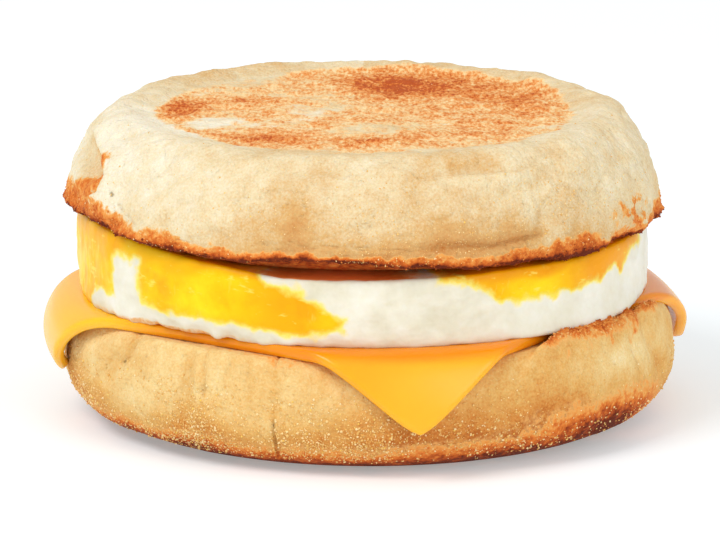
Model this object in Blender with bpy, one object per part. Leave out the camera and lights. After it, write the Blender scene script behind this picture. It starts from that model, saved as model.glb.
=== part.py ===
"""Breakfast sandwich: a toasted English muffin round a fried egg patty and a slice of cheese.

Lengths are in metres and +Z is up. The origin is the centre of the flat base. The front, -Y, is the
side where one corner of the cheese hangs down, and azimuths are counted from the front, + to the right.
"""

import math

import bpy
import numpy as np

MM = 0.001
GAP = 0.35 * MM  # left between pieces that touch

# Muffin heel, the lower half
HEEL_RADIUS = 48.1 * MM
HEEL_HEIGHT = 18.2 * MM
HEEL_FOOT = 37.5 * MM  # radius of the flat base
HEEL_BELLY = 9.5 * MM  # height of the widest ring
HEEL_RIM = 44.4 * MM  # radius where the cut face starts
HEEL_LIP = 3.0 * MM  # how far the torn rim stands up beside the cheese
HEEL_SWELL = 0.5 * MM  # unevenness of its side
HEEL_PRESS = 1.0 * MM  # how far its shoulder is pressed in beneath the slice

# Cheese slice
CHEESE_SIDE = 85.0 * MM
CHEESE_THICK = 1.8 * MM
CHEESE_CORNER = 1.1 * MM  # how far each corner is drawn in, to round it
CHEESE_INSET = 0.5 * MM  # how far its faces end short of the middle of its edge
CHEESE_CENTRE = (-1.5 * MM, -0.4 * MM)
CHEESE_TURN = math.radians(10.2)  # azimuth of the corner at the front

# Egg patty
EGG_RADIUS = 45.5 * MM
EGG_FOOT = 43.6 * MM  # radius of its underside
EGG_BROW = 43.2 * MM  # radius of its top
EGG_WAIST = 5.3 * MM  # height of its widest ring over its underside
EGG_THICK = 10.5 * MM
EGG_CENTRE = (-1.6 * MM, 0.0)
EGG_SWELL = 0.45 * MM

# Muffin crown, the upper half
CROWN_RADIUS = 46.9 * MM
CROWN_EDGE = 46.2 * MM  # radius of the cut face
CROWN_THICK = 17.2 * MM
CROWN_CENTRE = (-1.2 * MM, 0.0)
CROWN_BELLY = 1.6 * MM  # height of its widest ring over its cut face
CROWN_CREST = 37.4 * MM  # radius of the crest round the griddled top
CROWN_DISH = 1.1 * MM  # how deep the griddled top lies below the crest
CROWN_LIFT = 0.9 * MM  # how far its cut edge stands clear of the egg at the front
CROWN_SWELL = 0.6 * MM

# Heights of the stack, from the base up
CHEESE_BOTTOM = HEEL_HEIGHT + GAP
EGG_BOTTOM = CHEESE_BOTTOM + CHEESE_THICK + GAP
EGG_TOP = EGG_BOTTOM + EGG_THICK
CROWN_BOTTOM = EGG_TOP + GAP
CROWN_TOP = CROWN_BOTTOM + CROWN_THICK

MUFFIN_COLUMNS = 84
EGG_COLUMNS = 64
YOLK_COLUMNS = 16
YOLK_ROWS = 40
CHEESE_CELLS = 24

# Folds in the dough: azimuth in degrees and height in mm at each end of a straight run, depth and width in mm
CROWN_CREASES = [
    ((-84, 43.5), (-70, 41.7), 0.9, 1.9),
    ((-70, 41.7), (-76, 34.0), 0.9, 1.9),
    ((22, 42.6), (38, 43.8), 0.5, 1.3),
    ((12, 35.6), (36, 36.8), 0.6, 1.2),
    ((150, 41.0), (118, 38.0), 0.8, 1.8),
    ((-140, 36.0), (-170, 39.5), 0.7, 1.8),
]
HEEL_CREASES = [
    ((-52, 17.5), (-57, 12.0), 1.2, 1.7),
    ((-36, 16.5), (-37, 7.5), 1.0, 1.5),
    ((-18, 16.0), (-18, 10.5), 0.7, 1.4),
    ((66, 17.0), (74, 9.0), 1.0, 1.7),
    ((128, 16.0), (122, 8.0), 1.0, 1.8),
    ((-150, 16.5), (-146, 9.0), 1.0, 1.8),
]

# How each corner of the cheese hangs, from the front one on to the right: how far from the muffin's
# axis it starts to bend, over what length it bends, and the slope in degrees that it ends at
CHEESE_FLAPS = [
    (44.2 * MM, 6.4 * MM, 78.0),
    (42.0 * MM, 11.8 * MM, 85.0),
    (44.6 * MM, 11.0 * MM, 84.0),
    (45.6 * MM, 14.9 * MM, 145.0),
]

# The broken yolk along its run: azimuth in degrees, then outer reach, lowest and highest point in mm
YOLK_RUN = [
    (-128, 40.0, 25.0, 29.0),
    (-112, 44.0, 23.6, 31.6),
    (-98, 47.0, 20.0, 32.8),
    (-63, 47.0, 20.0, 32.8),
    (-57, 43.2, 24.2, 30.8),
    (-52, 43.2, 24.2, 30.8),
    (-47, 47.2, 23.8, 32.4),
    (-26, 47.2, 23.6, 32.6),
    (-13, 46.8, 22.9, 28.2),
    (-5, 46.4, 23.2, 25.6),
    (-1, 42.8, 23.6, 26.4),
    (6, 41.4, 24.0, 28.4),
    (17, 43.0, 26.0, 30.6),
    (22, 47.2, 27.8, 32.8),
    (37, 47.4, 25.8, 33.0),
    (50, 47.4, 26.6, 33.0),
    (62, 47.0, 28.0, 32.6),
    (74, 43.0, 28.0, 30.6),
]
YOLK_INNER = 33.5 * MM  # its inner side, behind the white


def smooth(x):
    """A rise from 0 to 1 without corners, while x goes from 0 to 1."""
    x = np.clip(x, 0.0, 1.0)
    return x * x * (3.0 - 2.0 * x)


def hashed(cells, seed):
    """A repeatable number from 0 to 1 for each whole-number cell."""
    mixed = (cells * (73856093, 19349663, 83492791)).sum(axis=-1) + seed * 2654435761
    for factor, extra in ((1103515245, 12345), (1664525, 1013904223)):
        mixed = ((mixed ^ (mixed >> 15)) & 0x7FFFFFFF) * factor + extra
    return ((mixed >> 8) & 0xFFFF) / 0xFFFF


def noise(points, size, seed=0):
    """Smooth bumps between -1 and 1 at points, each bump about size across."""
    scaled = points / size
    cell = np.floor(scaled).astype(np.int64)
    part = scaled - cell
    ease = part**3 * (part * (6.0 * part - 15.0) + 10.0)
    total = np.zeros(points.shape[:-1])
    for corner in np.ndindex(2, 2, 2):
        near = np.array(corner)
        weight = np.prod(np.where(near == 1, ease, 1.0 - ease), axis=-1)
        total += weight * hashed(cell + near, seed)
    return 2.0 * total - 1.0


def bumps(points, size, seed=0, octaves=3):
    """Noise with finer noise added to it, each layer half as large and half as high."""
    layers = range(octaves)
    total = sum(noise(points, size / 2**k, seed + k) / 2**k for k in layers)
    return total / sum(1 / 2**k for k in layers)


def out_of_round(azimuth, seed):
    """How far a hand-shaped round strays from a circle, from about -1 to 1."""
    ring = np.stack([np.sin(azimuth), np.cos(azimuth), np.zeros(azimuth.shape)], axis=-1)
    return noise(ring, 0.9, seed) + 0.5 * noise(ring, 0.4, seed + 1)


def azimuth_gap(azimuth, centre_deg):
    """Degrees from centre_deg to each azimuth, the short way round."""
    return (np.degrees(azimuth) - centre_deg + 180.0) % 360.0 - 180.0


def creases(azimuth, height, radius, runs):
    """Depth of the folds at each point of the side: a soft groove along each straight run."""
    depth = np.zeros(azimuth.shape)
    for start, end, deep, wide in runs:
        run = np.array([math.radians(end[0] - start[0]) * radius, (end[1] - start[1]) * MM])
        across = np.radians(azimuth_gap(azimuth, start[0])) * radius
        from_start = np.stack([across, height - start[1] * MM], axis=-1)
        share = np.clip(from_start @ run / (run @ run), 0.0, 1.0)
        distance = np.linalg.norm(from_start - share[..., None] * run, axis=-1)
        depth += deep * MM * np.exp(-((distance / (wide * MM)) ** 2))
    return depth


def quarter(start, end, rows, power, tall_first):
    """A rounded quarter turn between two profile points, without its first point."""
    turn = np.linspace(0.0, math.pi / 2, rows + 1)[1:]
    early = np.sin(turn) ** (2.0 / power)
    late = 1.0 - np.cos(turn) ** (2.0 / power)
    first, second = (late, early) if tall_first else (early, late)
    return start[0] + (end[0] - start[0]) * first, start[1] + (end[1] - start[1]) * second


def flat(radii_mm, height):
    """Points of a level stretch of a profile."""
    radii = np.array(radii_mm) * MM
    return radii, np.full(len(radii), height)


def grid(columns, *pieces):
    """Azimuths, radii and heights of a turned shape: one row for each point of the profile's pieces."""
    profile = [np.concatenate(side) for side in zip(*pieces)]
    azimuth = np.arange(columns) * 2.0 * math.pi / columns
    radius, height = (np.repeat(side[:, None], columns, axis=1) for side in profile)
    return np.broadcast_to(azimuth, radius.shape), radius, height


def outward(radius, height):
    """The profile's outward direction at each point, as its radial and its upward part."""
    run = np.gradient(radius, axis=0)
    rise = np.gradient(height, axis=0)
    length = np.hypot(run, rise)
    return rise / length, -run / length


def place(azimuth, radius, height, centre=(0.0, 0.0)):
    """Points in space, with azimuth 0 at the front and + to the right."""
    x = centre[0] + radius * np.sin(azimuth)
    y = centre[1] - radius * np.cos(azimuth)
    return np.stack([x, y, height], axis=-1)


def solid(name, vertices, faces):
    """A new object of the given points and faces."""
    mesh = bpy.data.meshes.new(name)
    mesh.from_pydata(vertices.tolist(), [], [tuple(int(i) for i in face) for face in faces])
    mesh.shade_smooth()
    made = bpy.data.objects.new(name, mesh)
    bpy.context.scene.collection.objects.link(made)
    return made


def turned_solid(name, points):
    """A closed object from rows of points, the first and last row being its two poles."""
    rows, columns = points.shape[:2]
    vertices = np.concatenate([points[0, :1], points[1:-1].reshape(-1, 3), points[-1, :1]])
    start = 1 + np.arange(rows - 2) * columns
    last = len(vertices) - 1
    faces = []
    for column in range(columns):
        after = (column + 1) % columns
        faces.append((0, start[0] + after, start[0] + column))
        for low, high in zip(start[:-1], start[1:]):
            faces.append((low + column, low + after, high + after, high + column))
        faces.append((start[-1] + column, start[-1] + after, last))
    return solid(name, vertices, faces)


def finish(made, colour, roughness):
    """Gives the object its own plain material."""
    material = bpy.data.materials.new(made.name)
    material.use_nodes = True
    shader = material.node_tree.nodes["Principled BSDF"]
    shader.inputs["Base Color"].default_value = (*colour, 1.0)
    shader.inputs["Roughness"].default_value = roughness
    shader.inputs["Metallic"].default_value = 0.0
    made.data.materials.append(material)


def cheese_edge(x, y):
    """Distance outside the flat slice's edge at each point in plan; below 0 inside it."""
    cos, sin = math.cos(CHEESE_TURN - math.pi / 4), math.sin(CHEESE_TURN - math.pi / 4)
    from_x, from_y = x - CHEESE_CENTRE[0], y - CHEESE_CENTRE[1]
    across = np.abs(cos * from_x + sin * from_y)
    along = np.abs(cos * from_y - sin * from_x)
    return np.maximum(across, along) - CHEESE_SIDE / 2


def heel():
    """The lower muffin half: flat griddled base, round side with folds, torn rim beside the cheese."""
    belly = (HEEL_RADIUS, HEEL_BELLY)
    azimuth, radius, height = grid(
        MUFFIN_COLUMNS,
        flat([0, 19, 34, HEEL_FOOT / MM], 0.0),
        quarter((HEEL_FOOT, 0.0), belly, 7, 2.3, False),
        quarter(belly, (HEEL_RIM, HEEL_HEIGHT), 7, 2.9, True),
        flat([43.2, 41.5, 38, 26, 0], HEEL_HEIGHT),
    )
    out, up = outward(radius, height)
    spots = place(azimuth, radius, height)
    side = smooth((height - 0.2 * MM) / (2.5 * MM)) * smooth((radius - 42.5 * MM) / (2.5 * MM))
    swell = HEEL_SWELL * (bumps(spots, 15 * MM, 15) + 0.5 * out_of_round(azimuth, 159))
    swell = side * (swell - creases(azimuth, height, HEEL_RADIUS, HEEL_CREASES))
    top = smooth((height - 14.5 * MM) / (3.5 * MM))
    beyond = cheese_edge(spots[..., 0], spots[..., 1])
    swell = swell - HEEL_PRESS * top * smooth(-beyond / (2.0 * MM))
    cut_face = smooth((42.0 * MM - radius) / (3.0 * MM)) * (height > HEEL_BELLY)
    clear = smooth((beyond - 0.9 * MM) / (1.6 * MM))
    radius = radius + out * swell
    spots = place(azimuth, radius, height)
    torn = 0.8 + 0.2 * bumps(spots, 5 * MM, 17)
    height = height + up * swell * np.where(swell < 0.0, 1.0, 1.0 - top)
    height = height + HEEL_LIP * clear * torn * top * smooth((radius - 41.3 * MM) / (3.0 * MM))
    height = height - 0.35 * MM * cut_face * (1.0 + noise(spots, 6 * MM, 19))
    finish(turned_solid("muffin_heel", place(azimuth, radius, height)), (0.78, 0.55, 0.30), 0.8)


def crown():
    """The upper muffin half: ragged cut edge, puffed side with folds, dished griddled top."""
    belly = (CROWN_RADIUS, CROWN_BOTTOM + CROWN_BELLY)
    dish = np.array([34.5, 32.5, 30.5, 26, 16, 0]) * MM
    azimuth, radius, height = grid(
        MUFFIN_COLUMNS,
        flat([0, 18, 32, 39, 43, 45.2], CROWN_BOTTOM),
        flat([CROWN_EDGE / MM], CROWN_BOTTOM + 0.3 * MM),
        quarter((CROWN_EDGE, CROWN_BOTTOM + 0.3 * MM), belly, 2, 2.0, False),
        quarter(belly, (CROWN_CREST, CROWN_TOP), 13, 1.84, True),
        (dish, CROWN_TOP - CROWN_DISH * smooth((CROWN_CREST - dish) / (6.0 * MM))),
    )
    out, up = outward(radius, height)
    spots = place(azimuth, radius, height)
    under = smooth((belly[1] - height) / CROWN_BELLY)
    side = smooth((radius - 33.0 * MM) / (8.0 * MM)) * (1.0 - under)
    swell = CROWN_SWELL * (bumps(spots, 16 * MM, 238) + 0.5 * out_of_round(azimuth, 260))
    swell = side * (swell - creases(azimuth, height, CROWN_RADIUS, CROWN_CREASES))
    near_edge = np.exp(-(((height - CROWN_BOTTOM) / (2.6 * MM)) ** 2))
    ragged = near_edge * smooth((radius - 43.5 * MM) / (2.5 * MM))
    torn = 1.1 * MM * noise(spots, 5.2 * MM, 29) + 0.5 * MM * noise(spots, 12 * MM, 30)
    radius = radius + out * swell + ragged * torn
    front = np.exp(-((azimuth_gap(azimuth, 0.0) / 32.0) ** 2))
    lift = 0.55 * MM + CROWN_LIFT * front + 0.45 * MM * noise(spots, 9 * MM, 31)
    height = height + up * swell + lift * under * smooth((radius - 34.0 * MM) / (10.0 * MM))
    points = place(azimuth, radius, height, CROWN_CENTRE)
    finish(turned_solid("muffin_crown", points), (0.86, 0.68, 0.42), 0.8)


def patty(name):
    """The whole egg patty, white and yolk together: a round cake with a soft side."""
    waist = (EGG_RADIUS, EGG_BOTTOM + EGG_WAIST)
    azimuth, radius, height = grid(
        EGG_COLUMNS,
        flat([0, 22, 38, EGG_FOOT / MM], EGG_BOTTOM),
        quarter((EGG_FOOT, EGG_BOTTOM), waist, 5, 2.6, False),
        quarter(waist, (EGG_BROW, EGG_TOP), 5, 3.0, True),
        flat([38, 22, 0], EGG_TOP),
    )
    spots = place(azimuth, radius, height)
    swell = EGG_SWELL * (bumps(spots, 13 * MM, 41) + 0.6 * out_of_round(azimuth, 44))
    low = smooth((EGG_BOTTOM + 3 * MM - height) / (3 * MM))
    fringe = 0.5 * MM * low * np.exp(-((azimuth_gap(azimuth, -42.0) / 24.0) ** 2))
    swell = swell + fringe * noise(spots, 4 * MM, 47)
    radius = radius + swell * smooth((radius - 40.0 * MM) / (3.5 * MM))
    return turned_solid(name, place(azimuth, radius, height, EGG_CENTRE))


def squared_turn(wave, power=2.8):
    """A cosine or sine filled out, so that the round it draws is squarer than a circle."""
    return np.sign(wave) * np.abs(wave) ** (2.0 / power)


def yolk_blob(name, grown):
    """The broken yolk as a bent sausage along the rim, its surface moved out by grown."""
    stations = np.array(YOLK_RUN)
    along = np.linspace(stations[0, 0], stations[-1, 0], YOLK_ROWS)
    reach, low, high = (np.interp(along, stations[:, 0], stations[:, k]) * MM for k in (1, 2, 3))
    girth = np.sqrt(1.0 - np.abs(np.linspace(-1.0, 1.0, YOLK_ROWS)) ** 12)
    turn = -np.arange(YOLK_COLUMNS) * 2.0 * math.pi / YOLK_COLUMNS
    half_width = (reach - YOLK_INNER) / 2 * girth + grown
    half_height = (high - low) / 2 * girth + grown
    radius = (reach + YOLK_INNER)[:, None] / 2 + np.outer(half_width, squared_turn(np.cos(turn)))
    height = (high + low)[:, None] / 2 + np.outer(half_height, squared_turn(np.sin(turn)))
    azimuth = np.radians(np.repeat(along[:, None], YOLK_COLUMNS, axis=1))
    azimuth[0] -= grown / EGG_RADIUS
    azimuth[-1] += grown / EGG_RADIUS
    for side in (radius, height):
        side[[0, -1]] = side[[0, -1]].mean(axis=1, keepdims=True)
    return turned_solid(name, place(azimuth, radius, height, EGG_CENTRE))


def combine(made, tool, operation):
    """Applies one Boolean to an object and removes the tool."""
    step = made.modifiers.new(operation.title(), "BOOLEAN")
    step.operation = operation
    step.object = tool
    graph = bpy.context.evaluated_depsgraph_get()
    result = bpy.data.meshes.new_from_object(made.evaluated_get(graph))
    made.modifiers.clear()
    made.data = result
    bpy.data.objects.remove(tool)
    return made


def egg():
    """The cooked egg: the white, with the broken yolk set in it and showing at the side."""
    white = combine(patty("egg_white"), yolk_blob("yolk_room", GAP), "DIFFERENCE")
    yolk = combine(patty("egg_yolk"), yolk_blob("yolk_shape", 0.0), "INTERSECT")
    finish(white, (0.90, 0.86, 0.76), 0.35)
    finish(yolk, (0.95, 0.58, 0.03), 0.3)


def bent(past, length, slope):
    """Reach, drop and slope of a sheet at a distance past the line from which it bends down."""
    here = slope * np.clip(past / length, 0.0, 1.0)
    rest = np.maximum(past - length, 0.0)
    reach = length / slope * np.sin(here) + rest * math.cos(slope)
    drop = length / slope * (1.0 - np.cos(here)) + rest * math.sin(slope)
    return reach, drop, here


def draped(across, along, offset):
    """Points of the slice as it lies, from places -1 to 1 in its plan and offsets from its middle."""
    drawn_in = CHEESE_CORNER * np.abs(across * along) ** 14
    plan_x = CHEESE_SIDE / 2 * across - np.sign(across) * drawn_in
    plan_y = CHEESE_SIDE / 2 * along - np.sign(along) * drawn_in
    cos, sin = math.cos(CHEESE_TURN - math.pi / 4), math.sin(CHEESE_TURN - math.pi / 4)
    x = CHEESE_CENTRE[0] + cos * plan_x - sin * plan_y
    y = CHEESE_CENTRE[1] + sin * plan_x + cos * plan_y
    z = np.full(x.shape, CHEESE_BOTTOM + CHEESE_THICK / 2)
    tilt = np.zeros(x.shape)
    for corner, (fold, length, slope) in enumerate(CHEESE_FLAPS):
        heading = CHEESE_TURN + corner * math.pi / 2
        way_x, way_y = math.sin(heading), -math.cos(heading)
        aside = x * way_y - y * way_x
        bulge = aside**2 / (4.0 * HEEL_RADIUS)  # the line of the fold bends round the muffin
        past = np.maximum(x * way_x + y * way_y - fold + bulge, 0.0)
        reach, drop, here = bent(past, length, math.radians(slope))
        shift = reach - past + np.sin(here) * offset
        x, y, z = x + way_x * shift, y + way_y * shift, z - drop
        tilt = tilt + here
    return np.stack([x, y, z + np.cos(tilt) * offset], axis=-1)


def cheese():
    """The slice: a soft square sheet, its four corners hanging over the muffin's rim."""
    count = CHEESE_CELLS + 1
    spread = 1.1  # the higher, the closer the cells near the edges
    ticks = np.sin(np.linspace(-spread, spread, count)) / math.sin(spread)
    across, along = (side.ravel() for side in np.meshgrid(ticks, ticks, indexing="ij"))
    face = 1.0 - CHEESE_INSET / (CHEESE_SIDE / 2)
    index = np.arange(count * count).reshape(count, count)
    loop = np.concatenate([index[:-1, 0], index[-1, :-1], index[:0:-1, -1], index[0, :0:-1]])
    top = draped(across * face, along * face, CHEESE_THICK / 2)
    bottom = draped(across * face, along * face, -CHEESE_THICK / 2)
    side = draped(across[loop], along[loop], 0.0)
    under, rim = len(top), len(top) + len(bottom)
    faces = []
    for i, j in np.ndindex(CHEESE_CELLS, CHEESE_CELLS):
        cell = (index[i, j], index[i + 1, j], index[i + 1, j + 1], index[i, j + 1])
        faces.append(cell)
        faces.append([under + corner for corner in reversed(cell)])
    for here, first in enumerate(loop):
        after = (here + 1) % len(loop)
        second = loop[after]
        faces.append((second, first, rim + here, rim + after))
        faces.append((rim + after, rim + here, under + first, under + second))
    made = solid("cheese_slice", np.concatenate([top, bottom, side]), faces)
    finish(made, (0.95, 0.52, 0.07), 0.35)


for old in list(bpy.data.objects):
    bpy.data.objects.remove(old)

heel()
cheese()
egg()
crown()
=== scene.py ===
# %% [markdown]
# # A breakfast sandwich
# A toasted English muffin is cut in two, and between its halves lie a slice of cheese and a round fried
# egg. This lesson dresses the plain solids of that sandwich: every layer gets a fine surface worked out
# with numpy, and a procedural material. Lengths are in metres, +Z is up, and the front is -Y.

# %% Load the solids that fix every size and place
import math

import bpy
import numpy as np
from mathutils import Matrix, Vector


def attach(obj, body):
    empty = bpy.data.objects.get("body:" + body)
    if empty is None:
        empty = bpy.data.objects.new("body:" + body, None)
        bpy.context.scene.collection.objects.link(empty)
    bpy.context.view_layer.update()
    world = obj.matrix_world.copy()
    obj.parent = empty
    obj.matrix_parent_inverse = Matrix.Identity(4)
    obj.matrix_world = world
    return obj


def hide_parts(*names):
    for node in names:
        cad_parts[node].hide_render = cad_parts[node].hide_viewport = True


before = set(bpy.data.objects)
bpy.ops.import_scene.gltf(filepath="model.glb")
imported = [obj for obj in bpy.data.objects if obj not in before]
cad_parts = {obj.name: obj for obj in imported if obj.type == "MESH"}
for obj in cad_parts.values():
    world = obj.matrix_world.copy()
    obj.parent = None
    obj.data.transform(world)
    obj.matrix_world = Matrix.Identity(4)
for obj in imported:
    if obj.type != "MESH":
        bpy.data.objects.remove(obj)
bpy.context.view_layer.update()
MM = 0.001
print("solids:", sorted(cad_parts))

# %% [markdown]
# ## Camera
# The picture was taken with a long lens from a little above the table, so the layers look almost level.
# A long lens far away is made here with a large focal length and a distance of nearly a metre.

# %% Camera
CAMERA_DISTANCE = 0.95
CAMERA_ELEVATION = math.radians(13.3)
CAMERA_TARGET = Vector((-1.6 * MM, 0.0, 20.4 * MM))
PIXELS_PER_METRE = 6290.0
PICTURE_WIDTH = 720
SENSOR_MM = 36.0

scene = bpy.context.scene
camera = bpy.data.objects.new("camera", bpy.data.cameras.new("camera"))
scene.collection.objects.link(camera)
scene.camera = camera
backwards = Vector((0.0, -math.cos(CAMERA_ELEVATION), math.sin(CAMERA_ELEVATION)))
camera.location = CAMERA_TARGET + backwards * CAMERA_DISTANCE
camera.rotation_euler = backwards.to_track_quat("Z", "Y").to_euler()
camera.data.sensor_width = SENSOR_MM
camera.data.lens = PIXELS_PER_METRE * CAMERA_DISTANCE * SENSOR_MM / PICTURE_WIDTH
print("lens:", round(camera.data.lens), "mm")

# %% [markdown]
# ## Light and floor
# A white studio: light comes from all round, with one large soft box at the upper left and a weaker one
# at the right. The floor is a white sheet lit a little from beneath, as on a light table, so that it
# vanishes except where the sandwich shades it.

# %% Light and floor
SKY = 0.72
FLOOR_SIZE = 6.0
FLOOR_WHITE = (0.73, 0.77, 0.81)
FLOOR_GLOW = (0.29, 0.30, 0.29)
KEY_PLACE, KEY_SIZE, KEY_WATTS, KEY_COLOUR = (-0.70, -0.62, 1.08), 0.55, 8.2, (1.0, 0.99, 0.97)
FILL_PLACE, FILL_SIZE, FILL_WATTS, FILL_COLOUR = (0.78, -0.93, 0.52), 0.7, 3.7, (1.0, 1.0, 1.0)


def soft_box(name, place, size, watts, colour):
    """A square area light at place, turned towards the sandwich."""
    light = bpy.data.lights.new(name, "AREA")
    light.size = size
    light.energy = watts
    light.color = colour
    lamp = bpy.data.objects.new(name, light)
    lamp.location = place
    lamp.rotation_euler = (Vector(place) - CAMERA_TARGET).to_track_quat("Z", "Y").to_euler()
    scene.collection.objects.link(lamp)


scene.view_settings.view_transform = "Standard"
scene.world = bpy.data.worlds.new("studio")
scene.world.use_nodes = True
sky = scene.world.node_tree.nodes["Background"]
sky.inputs["Color"].default_value = (1.0, 1.0, 1.0, 1.0)
sky.inputs["Strength"].default_value = SKY
soft_box("key", KEY_PLACE, KEY_SIZE, KEY_WATTS, KEY_COLOUR)
soft_box("fill", FILL_PLACE, FILL_SIZE, FILL_WATTS, FILL_COLOUR)

floor_mesh = bpy.data.meshes.new("floor")
half_floor = FLOOR_SIZE / 2
floor_corners = [(x * half_floor, y * half_floor, 0.0) for x, y in ((-1, -1), (1, -1), (1, 1), (-1, 1))]
floor_mesh.from_pydata(floor_corners, [], [(0, 1, 2, 3)])
floor = bpy.data.objects.new("floor", floor_mesh)
scene.collection.objects.link(floor)
paper = bpy.data.materials.new("paper")
paper.use_nodes = True
paper_surface = paper.node_tree.nodes["Principled BSDF"]
paper_surface.inputs["Base Color"].default_value = (*FLOOR_WHITE, 1.0)
paper_surface.inputs["Roughness"].default_value = 0.9
paper_surface.inputs["Specular IOR Level"].default_value = 0.1
paper_surface.inputs["Emission Color"].default_value = (*FLOOR_GLOW, 1.0)
paper_surface.inputs["Emission Strength"].default_value = 1.0
floor_mesh.materials.append(paper)

# %% [markdown]
# ## Shapes as formulas
# Bread and egg are never quite round. Each layer starts as a turned profile, and noise, folds and tears
# are added to its radius and height. Value noise is the tool for this: a random number sits on each
# point of a lattice, and the points between take a smooth mix of the eight around them.

# %% Noise
def smooth(x):
    """A rise from 0 to 1 without corners, while x goes from 0 to 1."""
    x = np.clip(x, 0, 1)
    return x * x * (3 - 2 * x)


def hashed(cells, seed):
    """A repeatable number from 0 to 1 for each whole-number cell."""
    mixed = (cells * (73856093, 19349663, 83492791)).sum(axis=-1) + seed * 2654435761
    for factor, extra in ((1103515245, 12345), (1664525, 1013904223)):
        mixed = ((mixed ^ (mixed >> 15)) & 0x7FFFFFFF) * factor + extra
    return ((mixed >> 8) & 0xFFFF) / 0xFFFF


def noise(points, size, seed=0):
    """Smooth bumps between -1 and 1 at points, each bump about size across."""
    scaled = points / size
    cell = np.floor(scaled).astype(np.int64)
    part = scaled - cell
    ease = part**3 * (part * (6 * part - 15) + 10)
    total = np.zeros(points.shape[:-1])
    for corner in np.ndindex(2, 2, 2):
        near_corner = np.array(corner)
        weight = np.prod(np.where(near_corner == 1, ease, 1 - ease), axis=-1)
        total += weight * hashed(cell + near_corner, seed)
    return 2 * total - 1


def bumps(points, size, seed=0, octaves=3):
    """Noise with finer noise added to it, each layer half as large and half as high."""
    layers = range(octaves)
    total = sum(noise(points, size / 2**k, seed + k) / 2**k for k in layers)
    return total / sum(1 / 2**k for k in layers)


def out_of_round(azimuth, seed):
    """How far a hand-shaped round strays from a circle, from about -1 to 1."""
    ring = np.stack([np.sin(azimuth), np.cos(azimuth), np.zeros(azimuth.shape)], axis=-1)
    return noise(ring, 0.9, seed) + 0.5 * noise(ring, 0.4, seed + 1)


def cracks(points, size, seed):
    """Thin lines, from 0 to 1, along the places where a noise passes through zero."""
    ridge = 1 - np.abs(noise(points, size, seed) + 0.3 * noise(points, size / 3, seed + 1))
    return np.clip(ridge, 0, 1) ** 9


# %% Places round a turned shape
FAR = 1


def azimuth_gap(azimuth, centre_deg):
    """Degrees from centre_deg to each azimuth, the short way round."""
    return (np.degrees(azimuth) - centre_deg + 180) % 360 - 180


def bell(away, reach):
    """1 where away is 0, fading on both sides over a reach."""
    return np.exp(-((away / reach) ** 2))


def near(azimuth, centre_deg, reach_deg):
    """1 at an azimuth, fading away from it over reach_deg."""
    return bell(azimuth_gap(azimuth, centre_deg), reach_deg)


def round_table(azimuth, stations):
    """A value at each azimuth, read from pairs of degrees and values that run once round."""
    degrees, values = np.array(stations, float).T
    degrees = np.concatenate([degrees[-1:] - 360, degrees, degrees[:1] + 360])
    values = np.concatenate([values[-1:], values, values[:1]])
    return np.interp(azimuth_gap(azimuth, 0), degrees, values)


def along_run(azimuth, height, radius, run):
    """Distance from points of the side to a run of (degrees, mm), + on its left, and a fade at its ends."""
    across = np.radians(azimuth_gap(azimuth, run[0][0])) * radius
    corners = np.array([[math.radians(degrees - run[0][0]) * radius, mm * MM] for degrees, mm in run])
    lengths = np.linalg.norm(np.diff(corners, axis=0), axis=1)
    nearest = np.full(azimuth.shape, FAR)
    signed = np.full(azimuth.shape, FAR)
    reached = np.zeros(azimuth.shape)
    for k, (corner, after) in enumerate(zip(corners[:-1], corners[1:])):
        step = (after - corner) / lengths[k]
        from_x, from_y = across - corner[0], height - corner[1]
        share = np.clip(from_x * step[0] + from_y * step[1], 0, lengths[k])
        away = np.hypot(from_x - share * step[0], from_y - share * step[1])
        left = np.sign(step[0] * from_y - step[1] * from_x)
        closer = away < nearest
        nearest = np.where(closer, away, nearest)
        signed = np.where(closer, away * left, signed)
        reached = np.where(closer, lengths[:k].sum() + share, reached)
    total = lengths.sum()
    fade = smooth(np.minimum(reached, total - reached) / (0.25 * total) + 0.12)
    return signed, fade


def grooves(azimuth, height, radius, runs):
    """Depth of folds in the side: a groove along each run, exp(-(distance / width) ** sharpness)."""
    depth = np.zeros(azimuth.shape)
    for deep, wide, sharp, *run in runs:
        distance, _ = along_run(azimuth, height, radius, run)
        depth += deep * MM * np.exp(-((np.abs(distance) / (wide * MM)) ** sharp))
    return depth


def ledges(azimuth, height, radius, runs):
    """Rise of overlapping layers: high on the left of each run, and low on its right."""
    rise = np.zeros(azimuth.shape)
    for high, reach, *run in runs:
        distance, fade = along_run(azimuth, height, radius, run)
        side = distance / np.hypot(distance, 0.22 * MM)
        rise += high * MM * fade * side * np.exp(-np.abs(distance) / (reach * MM))
    return rise


# %% Profiles
LOW_ROWS = 2.4


def quarter(start, end, power, tall_first, rows=200):
    """A rounded quarter turn between two profile points."""
    turn = np.linspace(0, math.pi / 2, rows)
    early = np.sin(turn) ** (2 / power)
    late = 1 - np.cos(turn) ** (2 / power)
    first, second = (late, early) if tall_first else (early, late)
    return start[0] + (end[0] - start[0]) * first, start[1] + (end[1] - start[1]) * second


def flat_run(inner, outer, height):
    """A level stretch of profile from one radius to another."""
    return np.array([inner, outer]), np.full(2, height)


def even(rows, *stretches, low=0):
    """Stretches of a profile as one, with rows evenly along it, or more closely below the height low."""
    radius, height = (np.concatenate(side) for side in zip(*stretches))
    step = np.hypot(np.diff(radius), np.diff(height))
    step = step * np.where((height[1:] + height[:-1]) / 2 < low, LOW_ROWS, 1)
    length = np.concatenate([[0], np.cumsum(step)])
    places = np.linspace(0, length[-1], rows)
    return np.interp(places, length, radius), np.interp(places, length, height)


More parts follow.
